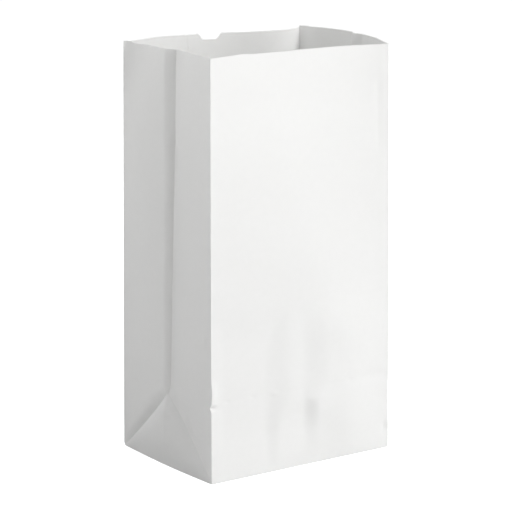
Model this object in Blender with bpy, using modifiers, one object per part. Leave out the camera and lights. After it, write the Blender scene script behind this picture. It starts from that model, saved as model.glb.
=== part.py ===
"""Block-bottom paper bag, open, empty and standing: one sheet, so one solid.

Metres, +Z up. The origin is the centre of the flat bottom. X runs across the
two wide panels and Y from the front panel (-Y) to the back panel (+Y), so the
two gussets are the sides at -X and +X. Each point of the plain box is moved
by the folds and bows that a bag keeps from having been stored flat.
"""
import math

import bmesh
import bpy
from mathutils import Vector

MM = 0.001

# The bag as it is cut and folded: 8 1/4 x 6 1/8 x 15 7/8 inches.
WIDTH = 209.6 * MM
DEPTH = 155.6 * MM
HEIGHT = 403.2 * MM
FOLD = DEPTH / 2               # height of the fold that lets the bottom lie flat
WALL = 0.5 * MM                # solid wall that stands for the paper
TOUCH = 0.01 * MM              # a point nearer than this to a plane lies on it

# The mesh: strips between the folds.
PANEL_STRIPS = 14              # across each wide panel
GUSSET_STRIPS = 9              # across each half gusset, narrower towards its fold
GUSSET_CROWDING = 1.7
RISE_STRIPS = 12               # between the bottom fold and the rim

# Rim drawn in as the panels bow, at each side.
DRAW_X = 2.5 * MM
DRAW_Y = 3.5 * MM
DRAW_POWER = 1.3
RIM_DROP = 0.8 * MM            # the rim is cut a little low at the front right corner

# Wide panels: inward bows at the rim.
FRONT_BOW_EVEN = 10 * MM
FRONT_BOW_RIGHT = 4 * MM       # a second bow, crowded towards the right corner
FRONT_BOW_SKEW = 2.2
BACK_WAVE = 11.5 * MM          # outward left of the middle, inward right of it
BACK_WAVE_SKEW = 1.35
BOW_POWER = 1.4                # how the bows fade down to the bottom fold
CREASE_DENT = 1.2 * MM         # dent along the front's bottom fold
CREASE_REACH = 16 * MM

# Left gusset: its middle fold stands inwards as a narrow lip.
LIP_DEPTH_FOOT = 2.7 * MM
LIP_DEPTH_RIM = 11 * MM
LIP_RISE_POWER = 0.6
LIP_WIDTH = 8 * MM
LIP_POWER = 1.8
CORNER_RUN = 12 * MM           # how fast the slanting folds deepen from a bottom corner
TRIANGLE_BULGE = 2 * MM

# Right gusset: pushed out, with its middle fold left as a groove.
PUSH_OUT = 20 * MM
PUSH_SKEW = 0.8
GROOVE_DEPTH = 6 * MM
GROOVE_WIDTH = 12 * MM

# Thumb notch in the back panel's rim.
NOTCH_TOP = 25.4 * MM
NOTCH_FOOT = 12 * MM
NOTCH_DEPTH = 6.4 * MM
NOTCH_REACH = 30 * MM

PAPER_COLOUR = (0.86, 0.86, 0.86, 1.0)
PAPER_ROUGHNESS = 0.6


def clamp(value):
    return min(max(value, 0.0), 1.0)


def gusset_marks():
    """Distances from a corner to each strip edge, up to the gusset's middle."""
    shares = [1 - (1 - i / GUSSET_STRIPS) ** GUSSET_CROWDING for i in range(GUSSET_STRIPS + 1)]
    return [FOLD * share for share in shares]


def above_fold(z):
    """0 at the bottom fold and below, 1 at the rim."""
    return clamp((z - FOLD) / (HEIGHT - FOLD))


def front_inward(x, z):
    along = clamp(x / WIDTH + 0.5)
    bow = FRONT_BOW_EVEN * math.sin(math.pi * along)
    bow += FRONT_BOW_RIGHT * math.sin(math.pi * along ** FRONT_BOW_SKEW)
    dent = CREASE_DENT * math.sin(math.pi * along) * clamp(1 - abs(z - FOLD) / CREASE_REACH)
    return bow * above_fold(z) ** BOW_POWER + dent


def back_outward(x, z):
    along = clamp(x / WIDTH + 0.5)
    wave = BACK_WAVE * math.sin(2 * math.pi * along ** BACK_WAVE_SKEW)
    return wave * above_fold(z) ** BOW_POWER


def lip(distance, width):
    return clamp(1 - distance / width) ** LIP_POWER


def triangle_inward(reach, z, crease):
    """The triangle under the slanting folds: straight from floor to fold, a little crowned."""
    up = z / reach if reach else 0.0
    crown = TRIANGLE_BULGE * math.sin(math.pi * up) * reach / FOLD
    return crease * up - crown


def left_inward(y, z):
    """Inward depth of the left gusset; the fold's lip is on its back half only."""
    from_back = max(DEPTH / 2 - y, 0.0)
    reach = max(min(from_back, DEPTH - from_back), 0.0)
    on_back = from_back < FOLD
    crease = LIP_DEPTH_FOOT * (1 - math.exp(-reach / CORNER_RUN))
    if z < reach:
        return triangle_inward(reach, z, crease)
    if z >= FOLD:
        crease = LIP_DEPTH_FOOT
        crease += (LIP_DEPTH_RIM - LIP_DEPTH_FOOT) * above_fold(z) ** LIP_RISE_POWER
        distance = FOLD - reach
    else:
        distance = (z - reach) / math.sqrt(2)
    if on_back:
        return crease * lip(distance, LIP_WIDTH)
    if z >= FOLD:
        return crease * reach / FOLD
    return crease * reach / FOLD + crease * (1 - reach / FOLD) * lip(distance, LIP_WIDTH)


def right_outward(y, z):
    from_back = max(DEPTH / 2 - y, 0.0)
    reach = max(min(from_back, DEPTH - from_back), 0.0)
    crease = LIP_DEPTH_FOOT * (1 - math.exp(-reach / CORNER_RUN))
    if z < reach:
        return -triangle_inward(reach, z, crease)
    push = PUSH_OUT * math.sin(math.pi * (from_back / DEPTH) ** PUSH_SKEW)
    push *= above_fold(z) ** BOW_POWER
    if z < FOLD:
        return push - crease * lip((z - reach) / math.sqrt(2), LIP_WIDTH)
    groove = LIP_DEPTH_FOOT + (GROOVE_DEPTH - LIP_DEPTH_FOOT) * above_fold(z)
    return push - groove * lip(FOLD - reach, GROOVE_WIDTH)


def settle(point):
    """Move a point of the plain box to where the opened bag's paper stands."""
    x, y, z = point
    shift = Vector((0.0, 0.0, 0.0))
    if y < -DEPTH / 2 + TOUCH:
        shift.y += front_inward(x, z)
    if y > DEPTH / 2 - TOUCH:
        shift.y += back_outward(x, z)
    if x < -WIDTH / 2 + TOUCH:
        shift.x += left_inward(y, z)
    if x > WIDTH / 2 - TOUCH:
        shift.x += right_outward(y, z)
    draw = (z / HEIGHT) ** DRAW_POWER
    shift.x -= x / (WIDTH / 2) * DRAW_X * draw
    shift.y -= y / (DEPTH / 2) * DRAW_Y * draw
    shift.z -= RIM_DROP * (x / WIDTH + 0.5) * (0.5 - y / DEPTH) * (z / HEIGHT) ** 2
    return Vector(point) + shift


def cut(bm, faces, point, normal):
    """Add an edge across the given faces where a plane meets them."""
    geometry = set(faces)
    for face in faces:
        geometry.update(face.verts)
        geometry.update(face.edges)
    bmesh.ops.bisect_plane(bm, geom=list(geometry), plane_co=point, plane_no=normal, dist=TOUCH)


def box_sheet():
    """The plain open box, cut into strips and along every fold."""
    bm = bmesh.new()
    bmesh.ops.create_cube(bm, size=1.0)
    bmesh.ops.scale(bm, vec=(WIDTH, DEPTH, HEIGHT), verts=bm.verts)
    bmesh.ops.translate(bm, vec=(0, 0, HEIGHT / 2), verts=bm.verts)
    top = max(bm.faces, key=lambda face: face.calc_center_median().z)
    bmesh.ops.delete(bm, geom=[top], context="FACES_ONLY")

    for i in range(1, PANEL_STRIPS):
        x = WIDTH * (i / PANEL_STRIPS - 0.5)
        cut(bm, bm.faces[:], (x, 0, 0), (1, 0, 0))
    marks = gusset_marks()
    for mark in marks[1:]:
        for y in {DEPTH / 2 - mark, mark - DEPTH / 2}:
            cut(bm, bm.faces[:], (0, y, 0), (0, 1, 0))
        cut(bm, bm.faces[:], (0, 0, mark), (0, 0, 1))
    for i in range(1, RISE_STRIPS):
        z = FOLD + (HEIGHT - FOLD) * i / RISE_STRIPS
        cut(bm, bm.faces[:], (0, 0, z), (0, 0, 1))

    for side in (-1, 1):
        corner = Vector((0, side * DEPTH / 2, 0))
        low = []
        for face in bm.faces:
            middle = face.calc_center_median()
            on_gusset = abs(middle.x) > WIDTH / 2 - TOUCH
            if on_gusset and middle.z < FOLD and middle.y * side > 0:
                low.append(face)
        cut(bm, low, corner, Vector((0, side, 1)).normalized())
    return bm


def paper_material():
    material = bpy.data.materials.new("bleached_kraft_paper")
    material.use_nodes = True
    shader = material.node_tree.nodes["Principled BSDF"]
    shader.inputs["Base Color"].default_value = PAPER_COLOUR
    shader.inputs["Roughness"].default_value = PAPER_ROUGHNESS
    shader.inputs["Metallic"].default_value = 0.0
    return material


def make_bag(collection):
    bm = box_sheet()
    for vert in bm.verts:
        vert.co = settle(vert.co.copy())
    bmesh.ops.recalc_face_normals(bm, faces=bm.faces)
    mesh = bpy.data.meshes.new("bag")
    bm.to_mesh(mesh)
    bm.free()
    bag = bpy.data.objects.new("bag", mesh)
    collection.objects.link(bag)
    mesh.materials.append(paper_material())
    shell = bag.modifiers.new("paper", "SOLIDIFY")
    shell.thickness = WALL
    shell.offset = -1
    shell.use_even_offset = True
    return bag


def make_notch_cutter(collection):
    """A wedge that is wide at the rim and narrow at its foot."""
    bm = bmesh.new()
    bmesh.ops.create_cube(bm, size=1.0)
    for vert in bm.verts:
        at_top = vert.co.z > 0
        # The flanks carry on above the rim at the same slope.
        half = (NOTCH_TOP - NOTCH_FOOT) / 2 + NOTCH_TOP / 2 if at_top else NOTCH_FOOT / 2
        vert.co.x = math.copysign(half, vert.co.x)
        vert.co.y = math.copysign(NOTCH_REACH, vert.co.y)
        vert.co.z = NOTCH_DEPTH if at_top else -NOTCH_DEPTH
    mesh = bpy.data.meshes.new("thumb_notch")
    bm.to_mesh(mesh)
    bm.free()
    cutter = bpy.data.objects.new("thumb_notch", mesh)
    cutter.location = (0, DEPTH / 2, HEIGHT)
    cutter.hide_render = True
    cutter.display_type = "WIRE"
    collection.objects.link(cutter)
    return cutter


def main():
    for old in list(bpy.data.objects):
        bpy.data.objects.remove(old)
    parts = bpy.data.collections.new("paper_bag")
    cutters = bpy.data.collections.new("cutters")
    for collection in (parts, cutters):
        bpy.context.scene.collection.children.link(collection)

    bag = make_bag(parts)
    notch = bag.modifiers.new("thumb_notch", "BOOLEAN")
    notch.operation = "DIFFERENCE"
    notch.solver = "EXACT"
    notch.object = make_notch_cutter(cutters)


main()
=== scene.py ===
"""Paper bag maker: a block-bottom bag of bleached kraft paper, open, empty and standing.

Metres, +Z up, in the frame of the CAD model: the origin is the centre of the flat bottom,
-Y is the front panel, and the two gussets are the sides at -X and +X. A point of the sheet
is given by u, its distance along a panel from the fold it starts at, and z, its distance up
the sheet from the bottom edge.
"""

import math

import bpy
import numpy as np
from bpy.props import FloatProperty, FloatVectorProperty, PointerProperty
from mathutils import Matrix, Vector


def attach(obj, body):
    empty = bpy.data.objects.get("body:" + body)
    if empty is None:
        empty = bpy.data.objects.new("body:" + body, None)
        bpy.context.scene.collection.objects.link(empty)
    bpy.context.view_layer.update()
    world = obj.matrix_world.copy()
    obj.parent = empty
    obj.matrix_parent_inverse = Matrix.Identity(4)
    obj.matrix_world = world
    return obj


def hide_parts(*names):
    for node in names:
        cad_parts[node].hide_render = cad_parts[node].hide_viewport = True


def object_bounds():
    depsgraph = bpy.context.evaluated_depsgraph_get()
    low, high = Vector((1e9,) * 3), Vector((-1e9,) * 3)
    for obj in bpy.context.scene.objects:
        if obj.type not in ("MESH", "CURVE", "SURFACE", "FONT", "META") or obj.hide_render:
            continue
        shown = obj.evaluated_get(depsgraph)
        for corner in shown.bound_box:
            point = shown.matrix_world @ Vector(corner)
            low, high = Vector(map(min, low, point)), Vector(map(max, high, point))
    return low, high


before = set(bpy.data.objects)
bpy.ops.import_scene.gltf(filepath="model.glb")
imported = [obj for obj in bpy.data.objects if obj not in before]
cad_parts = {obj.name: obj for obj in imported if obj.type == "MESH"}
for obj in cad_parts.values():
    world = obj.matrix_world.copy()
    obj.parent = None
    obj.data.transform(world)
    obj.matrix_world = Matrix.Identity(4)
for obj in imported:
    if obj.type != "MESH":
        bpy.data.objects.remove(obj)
CAD_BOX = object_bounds()

bl_info = {
    "name": "Paper Bag Maker",
    "version": (1, 0, 0),
    "blender": (4, 5, 0),
    "location": "3D View > Sidebar > Paper Bag",
    "description": "Folds a block-bottom paper bag and stands it on a studio floor",
    "category": "Add Mesh",
}

MM = 0.001
TOUCH = 0.01 * MM              # a length shorter than this counts as none

# The panels are 0 the left gusset, 1 the front, 2 the right gusset and 3 the back. A place along
# one is its distance from the fold that it starts at, counted round the bag from the back left.
GUSSETS = (0, 2)

# Mesh density: columns across each panel, rows up it, and how far they crowd towards the folds.
FRONT_COLUMNS = 96
BACK_COLUMNS = 44
HALF_GUSSET_COLUMNS = 36
MIDDLE_ROWS = 6                # between the slanting folds' apex and the bottom fold
RISE_ROWS = 104
RISE_CROWDING = 1.3
GUSSET_CROWDING = 0.8
PANEL_CROWDING = 0.3
NOTCH_STEPS = 32               # along the thumb notch
RIM_STRIP = 8 * MM             # the top strip, whose upper edge carries the cut
FOLD_ANGLE = math.radians(24)  # steeper edges than this are creases and stay sharp

# Tables are in millimetres, and single lengths in metres.

# Where each corner fold stands, as (x, y) from the flat-folded box: at the base and at the rim.
BASE_DRAW = {
    (-1, -1): (-0.4, -1.4),
    (1, -1): (1.1, 2.0),
    (-1, 1): (-2.1, -2.1),
    (1, 1): (-0.6, 1.5),
}
RIM_DRAW = {
    (-1, -1): (3.3, 3.7),
    (1, -1): (-3.4, 3.2),
    (-1, 1): (2.0, -3.1),
    (1, 1): (-2.0, -3.6),
}
DRAW_POWER = 1.3
RIM_DROP = 0.8 * MM            # the rim is cut a little low at the front right corner

# The cut wanders. For each panel: (share of the way along it, height over the straight cut).
RIM_CUT = (
    ((0.0, 0.9), (0.045, 1.1), (0.065, -0.6), (0.12, -0.5), (0.2, 0.2), (0.3, 0.3), (0.5, 0.0)),
    ((0.0, 0.3), (0.08, 0.6), (0.15, 1.0), (0.2, 1.4), (0.235, 0.3), (0.34, -0.3), (0.47, -1.0),
     (0.5, -0.2), (0.6, -0.3), (0.8, -0.1), (0.95, -0.3)),
    ((0.0, 0.0), (0.2, 0.8), (0.93, 0.8), (0.945, 1.2)),
    ((0.0, 1.2), (0.008, -0.9), (0.08, -0.7), (0.18, 0.2), (0.5, 0.1), (0.6, -0.4), (0.8, 0.9),
     (0.96, 0.3)),
)

# Front panel: bowed inwards at the rim.
FRONT_BOW_EVEN = 10 * MM
FRONT_BOW_RIGHT = 4 * MM       # a second bow, crowded towards the right corner
FRONT_BOW_SKEW = 2.2
BOW_POWER = 1.4                # how every bow fades down to the bottom fold
CREASE_DENT = 0.4 * MM         # dent along the bottom fold
CREASE_REACH = 12 * MM

# Below the bows the front stands out to a soft crest that slants down to the right:
# (height, distance of the crest from the left fold, how far it stands out).
CREST = (
    (0, 160, 0.0), (60, 165, 1.5), (95, 160, 2.0), (155, 140, 4.5),
    (210, 115, 4.5), (270, 96, 3.5), (330, 80, 1.5), (350, 76, 0.0),
)
CREST_START = 10 * MM
CREST_SOFTNESS = 0.07
# Beside the bottom fold it comes out in two steps, like the legs of a trouser, and a third one
# near the floor: height, then for each step where it starts, how wide it is and how high.
LEGS = (
    (0, 64, 16, 0.0, 106, 20, 0.0, 127, 42, 0.0),
    (14, 64, 14, 1.2, 106, 20, 0.8, 127, 42, 1.6),
    (38, 63, 18, 2.6, 107, 17, 3.6, 126, 40, 4.0),
    (52, 62, 22, 3.2, 107, 16, 5.4, 130, 44, 2.5),
    (66, 62, 28, 3.9, 106, 16, 4.8, 130, 44, 1.5),
    (80, 61, 32, 4.4, 103, 32, 4.2, 135, 44, 1.0),
    (130, 64, 28, 4.0, 102, 32, 3.9, 138, 44, 0.6),
    (146, 76, 18, 2.4, 102, 32, 3.0, 138, 44, 0.4),
    (160, 82, 14, 0.4, 102, 32, 0.8, 138, 44, 0.0),
    (176, 82, 14, 0.0, 102, 32, 0.0, 138, 44, 0.0),
)
# What the steps add is taken back beside the left fold, evenly, and towards the right fold.
TAKEN_BACK = (0.12, 0.58, 0.3)
BESIDE_LEFT = 16 * MM
BESIDE_RIGHT = 60 * MM

# Back panel: outward left of the middle, inward right of it, with the sheet's glued seam.
BACK_WAVE = 11.5 * MM
BACK_WAVE_SKEW = 1.35
SEAM_START = 128 * MM          # where the glued lap's cut edge is, from the panel's right fold
SEAM_STEP = 0.4 * MM
SEAM_EDGE = 0.05 * MM          # half the width of the step at the cut edge
SEAM_FADE = 3 * MM

# Left gusset: its middle fold stands inwards as a lip, curved below and flat near the rim.
# (height, depth of the middle fold, width of the lip).
LIP_FOLD = (
    (78, 4.4, 5.5), (135, 6.0, 7.5), (211, 7.6, 9.0),
    (245, 8.4, 9.5), (309, 10.1, 9.5), (403, 12.0, 10.0),
)
LIP_DEPTH_FOOT = LIP_FOLD[0][1] * MM
LIP_POWER = 2.2                # the lip's curve below, and then near the rim
LIP_POWER_RIM = 1.05
LIP_CHANGE = (290 * MM, 325 * MM)
LIP_LEAN = 5.6 * MM            # how far the back half leans in towards the lip
LIP_LEAN_POWER = 1.3           # how the lean grows with height
LIP_LEAN_SKEW = 1.2            # and across the half
BACK_CROWN = 1.0 * MM          # how far the back half is crowned outwards
CROWN_RISE = 0.2               # share of the way up over which the crown grows to that
RIM_LEAN = 6 * MM              # near the rim the back half leans in a second time
RIM_LEAN_FROM = 315 * MM
RIM_LEAN_SKEW = 0.6            # it leans in most on the corner's side
FLATTER = (28 * MM, 76 * MM)   # below this the front half runs flat into the middle

# Under it two slanting folds, from the bottom corners, frame a triangle that swells outwards.
SLANT = 0.915                  # the slanting folds' rise for each step along
CORNER_RUN = 19 * MM           # how fast the slanting folds deepen from a bottom corner
TRIANGLE_BULGE = 4.2 * MM
BULGE_SKEW = 1.5               # the bulge is fullest above its middle
BASE_BOW = 2.5 * MM            # the bottom edge bows outwards
# The back's paper overhangs its slanting fold: a flat strip along it, under a broad soft swell.
STRIP_DEPTH = 2.8 * MM
STRIP_RUN = 4 * MM
STRIP_WIDTH = 5.6 * MM
STRIP_FADE = (0.45, 0.8)       # where it fades out, as a share of the way to the apex
SWELL_WIDTH_CORNER = 22 * MM
SWELL_WIDTH_APEX = 7 * MM
SWELL_POWER = 1.5
# A short ridge under the apex: a soft back, a narrow top and a steep front.
RIDGE_HEIGHT = 2.0 * MM
RIDGE_BACK = 14 * MM
RIDGE_TOP = 5 * MM
RIDGE_FRONT = 13 * MM
RIDGE_SPAN = (44 * MM, 80 * MM)
RIDGE_END = 12 * MM

# Right gusset: pushed out, with its middle fold left as a groove.
PUSH_OUT = 20 * MM
PUSH_SKEW = 0.8                # it is pushed out most on the back's side
GROOVE_DEPTH = 6 * MM
GROOVE_WIDTH = 12 * MM
RIGHT_SLANT_WIDTH = 9.5 * MM   # of the lip above its slanting folds

# A corner fold is rounded, and the paper beside it springs back and leaves it proud.
FOLD_RADIUS = 0.8 * MM
EDGE_PROUD = 0.6 * MM
EDGE_REACH = 4 * MM
# The front left corner fold is knocked in where the bottom fold meets it, and out above that:
# (height, half height, depth inwards).
KNOCKS = ((74, 2.4, 3.0), (88, 8, -1.2))
KNOCK_REACH = 5.5 * MM

# Dents: (panel, along, up, half width, half height, depth inwards).
DENTS = (
    (0, 76.5, 318, 2.5, 9, 1.0),
    (0, 63, 294, 3, 5, -0.4),
    (0, 66, 283, 2.5, 5, -0.4),
    (0, 150, 135, 5, 7, 1.0),
    (0, 15, 403, 8, 1.2, -0.6),
    (1, 19, 77, 3, 2, 0.5),
    (1, 48, 77, 3, 2, 0.5),
    (1, 73, 77, 3, 2, -0.5),
    (1, 159, 78, 3, 2, 0.5),
    (1, 185, 77, 20, 6, 0.7),
    (1, 205, 21, 3, 5, 1.8),
    (2, 0, 50, 12, 24, 0.9),
)
# Short creases: (panel, (along, up) of one end, the same of the other, half width, depth).
CREASES = (
    (0, (111, 54), (121, 42), 2.3, 1.2),
    (0, (78, 73), (71, 65), 2.0, -0.8),
    (0, (76.5, 328), (76.5, 314), 1.5, 1.0),
    (1, (50, 160), (114, 152), 2.0, 0.25),
    (1, (199, 300), (199, 368), 3.5, 0.5),
)
CREASE_END = 3 * MM

# Slack in the paper, which the folds hold flat beside them.
SLACK_SIZE = 90 * MM
SLACK_SPREAD = (0.7, 1.8)      # shortest and longest wave, as shares of that size
SLACK_DEPTH = 0.35 * MM
SLACK_WAVES = 14
SLACK_SEED = 41
HELD_SHARE = 0.25              # of a panel, beside each of its folds

# Under the bag.
FLAP_GAP = 0.02 * MM           # between the layers
BOTTOM_RISE = 0.4 * MM         # where the bottom's folds meet, it stands off the floor

# Scales of the paper's own texture.
CLUMP_SIZE = 6 * MM
CLUMP_DETAIL = 3
CLUMP_TONES = (0.3, 0.7)       # shares of the noise at which the darkest and lightest tones start
POLISH = 0.05                  # how far the clumps move the roughness, up or down
FIBRE_WIDTH = 0.9 * MM
FIBRE_STRETCH = 4
FIBRE_DETAIL = 4
FIBRE_UNEVENNESS = 0.6
GLAZED_RELIEF = 0.02 * MM
FELT_RELIEF = 0.04 * MM
LIGHT_REACH = 0.1 * MM         # how far light spreads inside the sheet

# Studio softboxes: azimuth and elevation in degrees, distance, width and height in metres, watts.
SOFTBOXES = {
    "front": (4, 13, 2.4, 1.1, 1.5, 21.2),
    "key": (45, 45, 2.4, 1.3, 1.5, 36.6),
    "left": (-85, 45, 1.3, 0.9, 0.9, 6.15),
    "rear_left": (-150, 15, 1.3, 0.9, 0.9, 3.9),
    "rear": (175, 35, 1.6, 1.0, 1.0, 2.0),
    "right": (120, 30, 1.9, 1.0, 1.2, 16.0),
}
AMBIENT = 0.005
WHITE = (1, 1, 1, 1)
BAG_MIDDLE = (0.0, 0.0, 0.2)   # what the softboxes face, in metres
CAMERA_TARGET = (-0.3 * MM, 0.2 * MM, 193.4 * MM)
FLOOR_HALF = 12.0              # half the floor's width, in metres
FLOOR_ROUGHNESS = 0.9


def linear(hex_colour):
    """An sRGB hex colour as linear RGB."""
    channels = [int(hex_colour[i:i + 2], 16) / 255 for i in (1, 3, 5)]
    return [c / 12.92 if c <= 0.04045 else ((c + 0.055) / 1.055) ** 2.4 for c in channels]


def bottom_size():
    """Width and depth of the flat bottom, read from the CAD sheet's lowest points."""
    low = [v.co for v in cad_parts["bag"].data.vertices if v.co.z < MM]
    return tuple(max(c[axis] for c in low) - min(c[axis] for c in low) for axis in (0, 1))


BASE_WIDTH, BASE_DEPTH = bottom_size()


class BagSizes(bpy.types.PropertyGroup):
    """Sizes of the bag as it is cut and folded."""
    width: FloatProperty(
        name="Width", description="Across the front panel", default=BASE_WIDTH, unit="LENGTH")
    depth: FloatProperty(
        name="Depth", description="Across one gusset", default=BASE_DEPTH, unit="LENGTH")
    height: FloatProperty(
        name="Height", description="From the floor to the rim", default=CAD_BOX[1].z,
        unit="LENGTH")
    paper: FloatProperty(
        name="Paper", description="Thickness of the sheet", default=0.15 * MM, unit="LENGTH")
    tooth_pitch: FloatProperty(
        name="Tooth pitch", description="Spacing of the pinked rim's teeth", default=2.6 * MM,
        unit="LENGTH")
    tooth_depth: FloatProperty(
        name="Tooth depth", description="Depth of the pinked rim's teeth", default=0.8 * MM,
        unit="LENGTH")
    notch_middle: FloatProperty(
        name="Notch middle", description="Where the thumb notch is, across the back panel",
        default=0.0, unit="LENGTH")
    notch_top: FloatProperty(
        name="Notch top", description="Width of the thumb notch at the rim", default=25.4 * MM,
        unit="LENGTH")
    notch_foot: FloatProperty(
        name="Notch foot", description="Width of the thumb notch at its floor", default=12 * MM,
        unit="LENGTH")
    notch_depth: FloatProperty(
        name="Notch depth", description="Depth of the thumb notch", default=6.4 * MM,
        unit="LENGTH")
    seam_lap: FloatProperty(
        name="Seam lap", description="Width of the glued lap on the back panel",
        default=22 * MM, unit="LENGTH")
    flap_layers: FloatProperty(
        name="Flap layers", description="Thickness of the flaps folded under the bottom",
        default=0.32 * MM, unit="LENGTH")
    flap_overlap: FloatProperty(
        name="Flap overlap", description="Overlap of the two flaps under the bag",
        default=26 * MM, unit="LENGTH")

    @property
    def fold(self):
        """Height of the fold that lets the bottom lie flat."""
        return self.depth / 2

    @property
    def panel_lengths(self):
        """Width of each panel, in order round the bag."""
        return self.depth, self.width, self.depth, self.width

    @property
    def panel_starts(self):
        """Distance round the bag to each panel's first fold, and the whole way round."""
        return np.cumsum((0.0, *self.panel_lengths))


class PaperFinish(bpy.types.PropertyGroup):
    """Finish of the bleached kraft paper."""
    colour: FloatVectorProperty(
        name="Paper colour", description="Colour of the bleached paper", subtype="COLOR",
        default=linear("#EEEEED"), min=0, max=1)
    cloudiness: FloatProperty(
        name="Cloudiness", description="How far the fibres' clumps differ from the paper colour",
        default=0.005, min=0, max=0.2, subtype="FACTOR")
    glazed_roughness: FloatProperty(
        name="Glazed roughness", description="Roughness of the smooth outer face", default=0.55,
        min=0, max=1, subtype="FACTOR")
    felt_roughness: FloatProperty(
        name="Felt roughness", description="Roughness of the inner face", default=0.75, min=0,
        max=1, subtype="FACTOR")


class StudioSettings(bpy.types.PropertyGroup):
    """Floor, light and camera."""
    floor_colour: FloatVectorProperty(
        name="Floor colour", description="Colour of the studio floor", subtype="COLOR",
        default=linear("#E7E7E7"), min=0, max=1)
    camera_turn: FloatProperty(
        name="Camera turn", description="Camera's azimuth, 0 in front of the bag",
        default=math.radians(-34.42), subtype="ANGLE")
    camera_rise: FloatProperty(
        name="Camera rise", description="Camera's elevation above the horizon",
        default=math.radians(12.6), subtype="ANGLE")
    camera_distance: FloatProperty(
        name="Camera distance", description="From the camera to the point it looks at",
        default=2.343, unit="LENGTH")
    camera_lens: FloatProperty(
        name="Camera lens", description="Focal length in millimetres", default=168.75)


# Points of the sheet --------------------------------------------------------------------

def clamp(value):
    """The value, kept from 0 to 1."""
    return np.clip(value, 0.0, 1.0)


def smooth(value):
    """0 to 1 with level ends."""
    value = clamp(value)
    return value * value * (3 - 2 * value)


def above_fold(bag, z):
    """0 at the bottom fold and below, 1 at the rim."""
    return clamp((z - bag.fold) / (bag.height - bag.fold))


def slack(u, z, seed):
    """Gentle unevenness of slack paper: long waves in every direction."""
    draw = np.random.default_rng(seed)
    total = np.zeros(np.broadcast(u, z).shape)
    for _ in range(SLACK_WAVES):
        turn, phase = draw.uniform(0, 2 * math.pi, 2)
        length = SLACK_SIZE * draw.uniform(*SLACK_SPREAD)
        total += np.sin(2 * math.pi * (u * math.cos(turn) + z * math.sin(turn)) / length + phase)
    return SLACK_DEPTH * total / math.sqrt(SLACK_WAVES)


def held_by_folds(u, length):
    """0 on the folds at both ends of a panel, 1 in its middle."""
    return smooth(np.minimum(u, length - u) / (HELD_SHARE * length))


def front_crest(bag, u, z):
    """How far the front stands out to its slanting crest."""
    levels, places, heights = np.array(CREST).T * MM
    crest = np.interp(z, levels, places)
    left = clamp((u - CREST_START) / (crest - CREST_START))
    right = clamp((bag.width - u) / (bag.width - crest))
    # The lower of the two slopes, with the crest where they meet rounded off.
    slopes = np.exp(-left / CREST_SOFTNESS) + np.exp(-right / CREST_SOFTNESS)
    lower = -CREST_SOFTNESS * np.log(slopes)
    return np.interp(z, levels, heights) * np.clip(lower, 0.0, None)


def front_legs(bag, u, z):
    """How far the front comes out in steps beside its bottom fold."""
    levels, *steps = np.array(LEGS).T * MM
    left, even, right = TAKEN_BACK
    back = left * smooth(u / BESIDE_LEFT) + even * u / bag.width
    back += right * smooth(1 - (bag.width - u) / BESIDE_RIGHT)
    total = np.zeros(u.shape)
    for start, wide, high in zip(steps[0::3], steps[1::3], steps[2::3]):
        along = (u - np.interp(z, levels, start)) / np.interp(z, levels, wide)
        total += np.interp(z, levels, high) * (smooth(along) - back)
    return total


def front_relief(bag, u, z):
    """Depth inwards of the front panel."""
    share = clamp(u / bag.width)
    bow = FRONT_BOW_EVEN * np.sin(np.pi * share)
    bow += FRONT_BOW_RIGHT * np.sin(np.pi * share ** FRONT_BOW_SKEW)
    dent = CREASE_DENT * np.sin(np.pi * share) * clamp(1 - abs(z - bag.fold) / CREASE_REACH)
    relief = bow * above_fold(bag, z) ** BOW_POWER + dent
    return relief - front_crest(bag, u, z) - front_legs(bag, u, z)


def back_relief(bag, u, z):
    """Depth inwards of the back panel."""
    share = clamp(1 - u / bag.width)
    wave = BACK_WAVE * np.sin(2 * np.pi * share ** BACK_WAVE_SKEW)
    lap = (u > SEAM_START) * (1 - smooth((u - SEAM_START - bag.seam_lap) / SEAM_FADE))
    return -wave * above_fold(bag, z) ** BOW_POWER - SEAM_STEP * lap


def lip(distance, width, power):
    """1 on a fold, falling to 0 at a width from it."""
    return clamp(1 - distance / width) ** power


def gusset_reach(bag, u):
    """Distance to the nearer of a gusset's two corner folds."""
    return np.clip(np.minimum(u, bag.depth - u), 0.0, None)


def slant_depth(reach):
    """Depth of the slanting folds, which start from nothing at the bottom corners."""
    return LIP_DEPTH_FOOT * (1 - np.exp(-reach / CORNER_RUN))


def bulge(bag, reach, z):
    """Outward swell of the triangle under the slanting folds."""
    up = clamp(z / np.maximum(SLANT * reach, TOUCH))
    fullest = BULGE_SKEW / (BULGE_SKEW + 1)
    share = (up / fullest) ** BULGE_SKEW * (1 - up) / (1 - fullest)
    return TRIANGLE_BULGE * share * reach / bag.fold


def ridge(bag, u, z):
    """The short ridge under the left gusset's apex."""
    past = u - bag.fold
    low, high = RIDGE_SPAN
    ends = smooth((z - low) / RIDGE_END) * smooth((high - z) / RIDGE_END)
    back = np.exp(-(past / RIDGE_BACK) ** 2)
    front = 1 - smooth((past - RIDGE_TOP) / RIDGE_FRONT)
    return RIDGE_HEIGHT * ends * np.where(past < 0, back, front)


def middle_fold(z):
    """Depth of the left gusset's middle fold, and width of its lip, at heights z."""
    heights, depths, widths = np.array(LIP_FOLD).T * MM
    return np.interp(z, heights, depths), np.interp(z, heights, widths)


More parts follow.
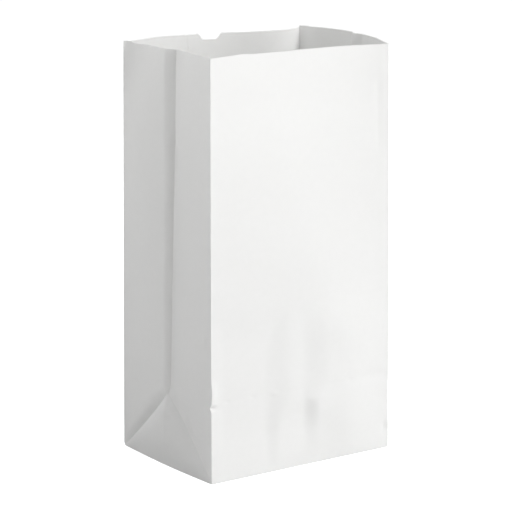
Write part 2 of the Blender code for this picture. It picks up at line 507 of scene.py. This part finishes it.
def back_half(bag, u, z):
    """Left gusset's back half: it leans in towards the lip of the middle fold."""
    crease, width = middle_fold(z)
    gap = bag.fold - gusset_reach(bag, u)
    rise = above_fold(bag, z)
    across = clamp(u / (bag.fold - width))
    start = LIP_LEAN * rise ** LIP_LEAN_POWER * across ** LIP_LEAN_SKEW
    low, high = LIP_CHANGE
    power = LIP_POWER + (LIP_POWER_RIM - LIP_POWER) * smooth((z - low) / (high - low))
    # The second lean sets in gently, and is steepest at the rim.
    lean = RIM_LEAN * smooth((z - RIM_LEAN_FROM) / (bag.height - RIM_LEAN_FROM) / 2) * 2
    lean = lean * np.sin(np.pi * across ** RIM_LEAN_SKEW)
    crown = BACK_CROWN * smooth(rise / CROWN_RISE) * np.sin(np.pi * across)
    return start + (crease - start) * lip(gap, width, power) + lean - crown


def front_half(bag, u, z):
    """Left gusset's front half: a straight slope in to the middle fold."""
    crease = middle_fold(z)[0]
    ramp = gusset_reach(bag, u) / bag.fold
    low, high = FLATTER
    straight = smooth((z - low) / (high - low))
    return crease * (ramp * straight + (1 - (1 - ramp) ** 2) * (1 - straight))


def overhang(bag, u, z):
    """The back's paper beside its slanting fold: a flat strip under a soft swell."""
    reach = gusset_reach(bag, u)
    ramp = reach / bag.fold
    depth = slant_depth(reach)
    above = np.clip(z - SLANT * reach, 0.0, None) / math.sqrt(2)
    low, high = STRIP_FADE
    strip = STRIP_DEPTH * (1 - smooth((ramp - low) / (high - low)))
    strip = np.minimum(strip * (1 - np.exp(-reach / STRIP_RUN)), depth)
    swell_width = SWELL_WIDTH_CORNER + (SWELL_WIDTH_APEX - SWELL_WIDTH_CORNER) * ramp
    swell = (depth - strip) * lip(above, swell_width, SWELL_POWER)
    return strip * clamp(1 - above / STRIP_WIDTH) + swell


def left_relief(bag, u, z):
    """Depth inwards of the left gusset, whose middle fold stands in as a lip."""
    reach = gusset_reach(bag, u)
    slant = SLANT * reach
    on_back = u < bag.fold
    front = front_half(bag, u, z)
    wall = np.where(on_back, np.maximum(back_half(bag, u, z), overhang(bag, u, z)), front)
    up = z / np.maximum(slant, TOUCH)
    under = np.where(on_back, slant_depth(reach), front) * up - bulge(bag, reach, z)
    base = BASE_BOW * np.sin(np.pi * clamp(u / bag.depth)) * (1 - clamp(z / bag.fold))
    return np.where(z < slant, under, wall) - base - ridge(bag, u, z)


def right_relief(bag, u, z):
    """Depth inwards of the right gusset, which is pushed out round its middle groove."""
    reach = gusset_reach(bag, u)
    slant = SLANT * reach
    rise = above_fold(bag, z)
    push = PUSH_OUT * np.sin(np.pi * clamp((bag.depth - u) / bag.depth) ** PUSH_SKEW)
    push = push * rise ** BOW_POWER
    groove = LIP_DEPTH_FOOT + (GROOVE_DEPTH - LIP_DEPTH_FOOT) * rise
    low = slant_depth(reach) * lip((z - slant) / math.sqrt(2), RIGHT_SLANT_WIDTH, LIP_POWER)
    high = groove * lip(bag.fold - reach, GROOVE_WIDTH, LIP_POWER)
    wall = np.where(z < bag.fold, low, high) - push
    under = slant_depth(reach) * z / np.maximum(slant, TOUCH) - bulge(bag, reach, z)
    return np.where(z < slant, under, wall)


def dents(panel, u, z):
    """The dents of one panel, each a soft round hollow."""
    total = np.zeros(u.shape)
    for where, *sizes in DENTS:
        along, up, wide, tall, depth = np.array(sizes) * MM
        if where == panel:
            total += depth * np.exp(-((u - along) / wide) ** 2 - ((z - up) / tall) ** 2)
    return total


def creases(panel, u, z):
    """The short creases of one panel, each fading out at both ends."""
    total = np.zeros(u.shape)
    for where, start, end, wide, depth in CREASES:
        if where != panel:
            continue
        start, end = np.array((start, end)) * MM
        length = math.dist(start, end)
        along_u, along_z = (end - start) / length
        along = (u - start[0]) * along_u + (z - start[1]) * along_z
        across = (u - start[0]) * along_z - (z - start[1]) * along_u
        ends = smooth(along / CREASE_END + 0.5) * smooth((length - along) / CREASE_END + 0.5)
        total += depth * MM * ends * np.exp(-(across / (wide * MM)) ** 2)
    return total


# Each panel's start corner, direction along, outward direction and relief.
PANELS = (
    ((-1, 1), (0, -1), (-1, 0), left_relief),
    ((-1, -1), (1, 0), (0, -1), front_relief),
    ((1, -1), (0, 1), (1, 0), right_relief),
    ((1, 1), (-1, 0), (0, 1), back_relief),
)


def settle(bag, points):
    """Draw the rim's corners in and drop the low one, as the opened bag stands."""
    x, y, z = points.T
    share = np.clip(z / bag.height, 0.0, None)
    right = x / bag.width + 0.5
    rear = y / bag.depth + 0.5
    for side, end in RIM_DRAW:
        corner = (right if side > 0 else 1 - right) * (rear if end > 0 else 1 - rear)
        for draw, weight in ((BASE_DRAW, 1 - share), (RIM_DRAW, share ** DRAW_POWER)):
            points[:, :2] += (corner * weight)[:, None] * (np.array(draw[side, end]) * MM)
    points[:, 2] += bag.flap_layers - RIM_DROP * right * (1 - rear) * share ** 2
    return points


def round_folds(u, length):
    """Place along a panel, and depth in, where both of its folds are quarter rounds."""
    gap = np.clip(np.minimum(u, length - u), 0.0, FOLD_RADIUS)
    turn = math.pi / 4 * (1 + gap / FOLD_RADIUS)
    place = FOLD_RADIUS * (1 - np.cos(turn)) - gap
    return np.where(u < length / 2, u + place, u - place), FOLD_RADIUS * (1 - np.sin(turn))


def knocked(gap, z):
    """How far the front left corner fold is pushed back."""
    total = np.zeros(gap.shape)
    for height, tall, depth in np.array(KNOCKS) * MM:
        total += depth * np.exp(-((z - height) / tall) ** 2 - (gap / KNOCK_REACH) ** 2)
    return total


def panel_points(bag, panel, u, z):
    """World points of a panel at distances u along it and z up it."""
    corner, along, outward, relief = PANELS[panel]
    u, z = np.broadcast_arrays(u, z)
    length = bag.panel_lengths[panel]
    inward = relief(bag, u, z) + dents(panel, u, z) + creases(panel, u, z)
    loose = held_by_folds(u, length) * smooth(z / bag.fold)
    inward = inward + slack(u, z, SLACK_SEED + panel) * loose
    place, rounding = round_folds(u, length)
    inward = inward + rounding
    points = np.zeros(u.shape + (3,))
    for axis, half in ((0, bag.width / 2), (1, bag.depth / 2)):
        points[..., axis] = corner[axis] * half + along[axis] * place - outward[axis] * inward
    # The paper beside each corner fold springs back and leaves the fold proud.
    end = (corner[0] + 2 * along[0], corner[1] + 2 * along[1])
    for gap, fold in ((u, corner), (length - u, end)):
        proud = EDGE_PROUD * np.exp(-gap / EDGE_REACH) * smooth(z / EDGE_REACH)
        if fold == (-1, -1):
            points[..., 1] += knocked(gap, z)
        points[..., 0] += fold[0] * proud
        points[..., 1] += fold[1] * proud
    points[..., 2] = z
    return settle(bag, points.reshape(-1, 3)).reshape(points.shape)


# The sheet's mesh -----------------------------------------------------------------------

def spread(length, count, crowd):
    """Distances from one fold to the next, pushed towards both."""
    even = np.linspace(0.0, 1.0, count + 1)
    eased = (1 - np.cos(np.pi * even)) / 2
    return length * ((1 - crowd) * even + crowd * eased)


def panel_columns(bag):
    """Column distances along each panel, each from its first fold up to the next."""
    half = spread(bag.fold, HALF_GUSSET_COLUMNS, GUSSET_CROWDING)
    gusset = np.concatenate([half, (bag.depth - half[:-1])[::-1]])
    front = spread(bag.width, FRONT_COLUMNS, PANEL_CROWDING)
    step = SEAM_START + np.array([-1, 1]) * SEAM_EDGE
    back = np.sort(np.append(spread(bag.width, BACK_COLUMNS, PANEL_CROWDING), step))
    return [gusset, front, gusset, back]


def sheet_rows(bag):
    """Heights of the rows, which meet the gussets' columns on the slanting folds."""
    low = SLANT * spread(bag.fold, HALF_GUSSET_COLUMNS, GUSSET_CROWDING)
    middle = np.linspace(low[-1], bag.fold, MIDDLE_ROWS + 1)[1:-1]
    share = np.linspace(0.0, 1.0, RISE_ROWS + 1) ** RISE_CROWDING
    high = bag.fold + (bag.height - RIM_STRIP - bag.fold) * share
    return np.concatenate([low, middle, high])


def rim_cut(bag, s):
    """How far the cut wanders from straight at distances s round the rim."""
    starts = bag.panel_starts
    places = []
    heights = []
    for start, length, cut in zip(starts, bag.panel_lengths, RIM_CUT):
        places += [start + share * length for share, _ in cut]
        heights += [height * MM for _, height in cut]
    return np.interp(s, places, heights, period=starts[-1])


def rim_outline(bag):
    """Distances round the rim and the height of its cut at each."""
    around = 2 * (bag.width + bag.depth)
    teeth = 2 * round(around / bag.tooth_pitch)
    s = np.linspace(0.0, around, teeth + 1)
    tooth = np.where(np.arange(teeth + 1) % 2 == 0, 0.0, bag.tooth_depth)
    middle = 2 * bag.depth + bag.width + (bag.width / 2 - bag.notch_middle)
    outside = abs(s - middle) > bag.notch_top / 2
    steps = np.linspace(-bag.notch_top / 2, bag.notch_top / 2, NOTCH_STEPS + 1)
    flank = (bag.notch_top - bag.notch_foot) / 2
    notch = bag.notch_depth * smooth((bag.notch_top / 2 - abs(steps)) / flank)
    s = np.concatenate([s[outside], middle + steps])
    cut = np.concatenate([tooth[outside], notch])
    order = np.argsort(s)
    return s[order], bag.height - cut[order] + rim_cut(bag, s[order])


def wall_faces(counts, rows):
    """Faces between the rows. A slanting fold runs along the diagonals of the quads it meets."""
    total = sum(counts)
    faces = []
    start = 0
    for panel, count in enumerate(counts):
        for i in range(count):
            for row in range(rows - 1):
                a = row * total + start + i
                b = row * total + (start + i + 1) % total
                if panel in GUSSETS and row == i:
                    faces += [(a, b, b + total), (a, b + total, a + total)]
                elif panel in GUSSETS and row == count - 1 - i:
                    faces += [(a, b, a + total), (b, b + total, a + total)]
                else:
                    faces.append((a, b, b + total, a + total))
        start += count
    return faces


def rim_strip(bag, columns, first):
    """Points and faces of the top strip, each face up to its own stretch of the cut.

    The strip stands on the last row of the wall, and its points are numbered from first on.
    """
    cut_s, cut_z = rim_outline(bag)
    total = sum(len(marks) - 1 for marks in columns)
    places = []
    for panel, (base, marks) in enumerate(zip(bag.panel_starts, columns)):
        places += [(panel, u, np.interp(base + u, cut_s, cut_z)) for u in marks[:-1]]
    faces = []
    for panel, (base, marks) in enumerate(zip(bag.panel_starts, columns)):
        for low, high in zip(marks[:-1], marks[1:]):
            a = first + len(faces)
            b = first + (len(faces) + 1) % total
            between = (cut_s > base + low + TOUCH) & (cut_s < base + high - TOUCH)
            crest = [(panel, s - base, z) for s, z in zip(cut_s[between], cut_z[between])]
            numbers = range(first + len(places), first + len(places) + len(crest))
            places += crest
            faces.append([a - total, b - total, b, *numbers[::-1], a])
    points = [panel_points(bag, panel, np.array([u]), np.array([z]))[0] for panel, u, z in places]
    return np.array(points), faces


def bottom_faces(counts, left, right):
    """The bottom's faces, between folds from its corners to the points left and right."""
    ring = [*range(sum(counts)), 0]
    turns = [0, *np.cumsum(counts)]
    tips = ((left,), (right, left), (right,), (left, right))
    return [[*ring[low:high + 1], *tip][::-1] for low, high, tip in zip(turns, turns[1:], tips)]


def sheet_mesh(bag):
    """Vertices and faces of the folded tube, with its top edge cut, and its bottom."""
    columns = panel_columns(bag)
    counts = [len(marks) - 1 for marks in columns]
    rows = sheet_rows(bag)
    blocks = []
    for panel, marks in enumerate(columns):
        blocks.append(panel_points(bag, panel, marks[None, :-1], rows[:, None]))
    wall = np.concatenate(blocks, axis=1).reshape(-1, 3)
    strip, strip_faces = rim_strip(bag, columns, len(wall))
    half = bag.width / 2 - bag.depth / 2
    tips = settle(bag, np.array([(-half, 0, BOTTOM_RISE), (half, 0, BOTTOM_RISE)]))
    left = len(wall) + len(strip)
    faces = wall_faces(counts, len(rows)) + strip_faces + bottom_faces(counts, left, left + 1)
    return np.concatenate([wall, strip, tips]), faces


def flap_points(bag, end, level):
    """Outline of one bottom flap: a trapezoid with 45 degree sides and a pinked free edge."""
    reach = bag.depth / 2 + bag.flap_overlap / 2
    half = bag.width / 2
    fold = end * bag.depth / 2
    teeth = 2 * round((half - reach) / bag.tooth_pitch) + 1
    outline = [(-half, fold), (half, fold)]
    for i, x in enumerate(np.linspace(half - reach, reach - half, 2 * teeth + 1)):
        outline.append((x, fold - end * (reach - bag.tooth_depth * (i % 2))))
    points = settle(bag, np.array([(x, y, 0.0) for x, y in outline]))
    points[:, 2] = level
    return points if end < 0 else points[::-1]


# Paper ----------------------------------------------------------------------------------

def add_node(tree, kind, settings=(), **links):
    """Add a node, set its values, and link sockets given by name as (node, output)."""
    node = tree.nodes.new(kind)
    for key, value in dict(settings).items():
        if key in node.inputs:
            node.inputs[key].default_value = value
        else:
            setattr(node, key, value)
    for key, (source, output) in links.items():
        tree.links.new(source.outputs[output], node.inputs[key.replace("_", " ")])
    return node


def kraft_material(name, finish, roughness, relief):
    """Bleached kraft paper: pressed white fibres, matt, and a little cloudy close to.

    Light goes a short way into the sheet and comes out of its far side, so a lit panel glows
    faintly on its other face.
    """
    material = bpy.data.materials.new(name)
    material.use_nodes = True
    tree = material.node_tree
    shader = tree.nodes["Principled BSDF"]
    shader.inputs["Subsurface Weight"].default_value = 1.0
    shader.inputs["Subsurface Radius"].default_value = (1, 1, 1)
    shader.inputs["Subsurface Scale"].default_value = LIGHT_REACH
    place = add_node(tree, "ShaderNodeTexCoord")

    # Formation: fibres lie in soft clumps some 6 mm across, the thick ones a little whiter.
    clump = {"Scale": 1 / CLUMP_SIZE, "Detail": CLUMP_DETAIL}
    clumps = add_node(tree, "ShaderNodeTexNoise", clump, Vector=(place, "Object"))
    tone = add_node(tree, "ShaderNodeValToRGB", Fac=(clumps, "Fac"))
    colour = np.array(finish.colour)
    for stop, step, share in zip(tone.color_ramp.elements, (-1, 1), CLUMP_TONES):
        stop.position = share
        stop.color = (*np.clip(colour * (1 + step * finish.cloudiness), 0, 1), 1)
    tree.links.new(tone.outputs["Color"], shader.inputs["Base Color"])

    # The rollers polish the high clumps, so these shine a little more.
    shine = {"To Min": roughness + POLISH, "To Max": roughness - POLISH}
    polish = add_node(tree, "ShaderNodeMapRange", shine, Value=(clumps, "Fac"))
    tree.links.new(polish.outputs["Result"], shader.inputs["Roughness"])

    # Fibres run up the sheet as it came off the machine. They are drawn coarser than real ones.
    upwards = {"Scale": (1, 1, 1 / FIBRE_STRETCH)}
    grain = add_node(tree, "ShaderNodeMapping", upwards, Vector=(place, "Object"))
    fibre = {"Scale": 1 / FIBRE_WIDTH, "Detail": FIBRE_DETAIL, "Roughness": FIBRE_UNEVENNESS}
    fibres = add_node(tree, "ShaderNodeTexNoise", fibre, Vector=(grain, "Vector"))
    height = {"Strength": 1.0, "Distance": relief}
    bump = add_node(tree, "ShaderNodeBump", height, Height=(fibres, "Fac"))
    tree.links.new(bump.outputs["Normal"], shader.inputs["Normal"])
    return material


def mesh_object(name, points, faces, materials):
    """A new mesh object in the scene, with its materials."""
    mesh = bpy.data.meshes.new(name)
    mesh.from_pydata([tuple(p) for p in points], [], faces)
    mesh.validate()
    for material in materials:
        mesh.materials.append(material)
    piece = bpy.data.objects.new(name, mesh)
    bpy.context.scene.collection.objects.link(piece)
    return piece


def paper_faces(finish):
    """The sheet's two materials, shared by every piece: glazed outside, felt side in."""
    sides = (
        ("machine_glazed_bleached_kraft", finish.glazed_roughness, GLAZED_RELIEF),
        ("felt_side_bleached_kraft", finish.felt_roughness, FELT_RELIEF),
    )
    made = bpy.data.materials
    return [made.get(name) or kraft_material(name, finish, *look) for name, *look in sides]


def thicken(piece, thickness):
    """Give the sheet its thickness inwards, with the second material inside."""
    paper = piece.modifiers.new("paper", "SOLIDIFY")
    paper.thickness = thickness
    paper.offset = -1
    paper.use_even_offset = True
    paper.material_offset = 1


def apply_modifiers(piece):
    """Apply the piece's modifiers and keep its creases sharp."""
    bpy.context.view_layer.update()
    evaluated = piece.evaluated_get(bpy.context.evaluated_depsgraph_get())
    mesh = bpy.data.meshes.new_from_object(evaluated)
    piece.modifiers.clear()
    piece.data = mesh
    mesh.shade_smooth()
    mesh.set_sharp_from_angle(angle=FOLD_ANGLE)


class PAPERBAG_OT_sheet(bpy.types.Operator):
    """Fold the bag's one sheet into its tube and bottom"""
    bl_idname = "paperbag.sheet"
    bl_label = "Fold the sheet"

    def execute(self, context):
        bag, finish = context.scene.paper_bag, context.scene.paper_finish
        piece = mesh_object("bag_sheet", *sheet_mesh(bag), paper_faces(finish))
        thicken(piece, bag.paper)
        apply_modifiers(piece)
        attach(piece, "root")
        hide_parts("bag")
        return {"FINISHED"}


class PAPERBAG_OT_bottom(bpy.types.Operator):
    """Lay the two flaps, with their pinked edges, over each other under the bottom"""
    bl_idname = "paperbag.bottom"
    bl_label = "Fold the bottom flaps"

    def execute(self, context):
        bag, finish = context.scene.paper_bag, context.scene.paper_finish
        layer = bag.flap_layers / 2
        for name, end, level in (("front_bottom_flap", -1, 0.0), ("back_bottom_flap", 1, layer)):
            points = flap_points(bag, end, level)
            piece = mesh_object(name, points, [range(len(points))[::-1]], paper_faces(finish))
            thicken(piece, layer - FLAP_GAP)
            apply_modifiers(piece)
            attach(piece, "root")
        return {"FINISHED"}


# Stage ----------------------------------------------------------------------------------

def aim(thing, place, target):
    """Put a light or camera at a place and face it to a target."""
    thing.location = place
    thing.rotation_euler = (Vector(target) - Vector(place)).to_track_quat("-Z", "Y").to_euler()


def round_about(turn, rise, distance, centre):
    """A place at an azimuth and elevation about a centre, where azimuth 0 is in front."""
    flat = distance * math.cos(rise)
    offset = (flat * math.sin(turn), -flat * math.cos(turn), distance * math.sin(rise))
    return Vector(centre) + Vector(offset)


def make_floor(colour):
    """A matt painted floor, which lights the bag and is seen as pure white."""
    paint = bpy.data.materials.new("matt_painted_floor")
    paint.use_nodes = True
    shader = paint.node_tree.nodes["Principled BSDF"]
    shader.inputs["Base Color"].default_value = (*colour, 1)
    shader.inputs["Roughness"].default_value = FLOOR_ROUGHNESS
    shader.inputs["Emission Color"].default_value = WHITE
    path = add_node(paint.node_tree, "ShaderNodeLightPath")
    paint.node_tree.links.new(path.outputs["Is Camera Ray"], shader.inputs["Emission Strength"])
    half = FLOOR_HALF
    corners = [(-half, -half, 0), (half, -half, 0), (half, half, 0), (-half, half, 0)]
    return mesh_object("studio_floor", corners, [(0, 1, 2, 3)], (paint,))


def make_world():
    """A white room: seen at full strength, and only a little of it lights the bag."""
    world = bpy.data.worlds.new("studio")
    world.use_nodes = True
    tree = world.node_tree
    glow = tree.nodes["Background"]
    glow.inputs["Strength"].default_value = AMBIENT
    glow.inputs["Color"].default_value = WHITE
    shown = add_node(tree, "ShaderNodeBackground", {"Strength": 1.0, "Color": WHITE})
    path = add_node(tree, "ShaderNodeLightPath")
    mix = add_node(tree, "ShaderNodeMixShader", Fac=(path, "Is Camera Ray"))
    tree.links.new(glow.outputs[0], mix.inputs[1])
    tree.links.new(shown.outputs[0], mix.inputs[2])
    tree.links.new(mix.outputs[0], tree.nodes["World Output"].inputs["Surface"])
    return world


class PAPERBAG_OT_stage(bpy.types.Operator):
    """Set the floor, the soft lights and the camera"""
    bl_idname = "paperbag.stage"
    bl_label = "Set the stage"

    def execute(self, context):
        scene = context.scene
        studio = scene.paper_studio
        floor = make_floor(studio.floor_colour)

        for name, (turn, rise, distance, wide, tall, watts) in SOFTBOXES.items():
            light = bpy.data.lights.new(name + "_softbox", "AREA")
            light.shape = "RECTANGLE"
            light.size = wide
            light.size_y = tall
            light.energy = watts
            lamp = bpy.data.objects.new(name + "_softbox", light)
            place = round_about(math.radians(turn), math.radians(rise), distance, BAG_MIDDLE)
            aim(lamp, place, BAG_MIDDLE)
            scene.collection.objects.link(lamp)
        scene.world = make_world()
        scene.view_settings.view_transform = "Standard"

        lens = bpy.data.cameras.new("studio_camera")
        lens.lens = studio.camera_lens
        camera = bpy.data.objects.new("studio_camera", lens)
        turn, rise = studio.camera_turn, studio.camera_rise
        place = round_about(turn, rise, studio.camera_distance, CAMERA_TARGET)
        aim(camera, place, CAMERA_TARGET)
        scene.collection.objects.link(camera)
        scene.camera = camera
        return {"FINISHED"}


class PAPERBAG_PT_panel(bpy.types.Panel):
    """Steps that make the bag, in order"""
    bl_idname = "PAPERBAG_PT_panel"
    bl_label = "Paper Bag"
    bl_space_type = "VIEW_3D"
    bl_region_type = "UI"
    bl_category = "Paper Bag"

    def draw(self, context):
        layout = self.layout
        scene = context.scene
        for group in (scene.paper_bag, scene.paper_finish, scene.paper_studio):
            box = layout.box()
            for name in group.bl_rna.properties.keys():
                if name not in ("rna_type", "name"):
                    box.prop(group, name)
        for step in STEPS:
            layout.operator(step.bl_idname)


STEPS = (PAPERBAG_OT_sheet, PAPERBAG_OT_bottom, PAPERBAG_OT_stage)
CLASSES = (BagSizes, PaperFinish, StudioSettings, *STEPS, PAPERBAG_PT_panel)


def register():
    """Add the bag's settings, steps and panel."""
    for made in CLASSES:
        bpy.utils.register_class(made)
    bpy.types.Scene.paper_bag = PointerProperty(type=BagSizes)
    bpy.types.Scene.paper_finish = PointerProperty(type=PaperFinish)
    bpy.types.Scene.paper_studio = PointerProperty(type=StudioSettings)


def unregister():
    """Take them away again."""
    for name in ("paper_bag", "paper_finish", "paper_studio"):
        delattr(bpy.types.Scene, name)
    for made in reversed(CLASSES):
        bpy.utils.unregister_class(made)


def main():
    """Make the bag and its stage."""
    register()
    bpy.ops.paperbag.sheet()
    bpy.ops.paperbag.bottom()
    bpy.ops.paperbag.stage()


if __name__ == "__main__":
    main()
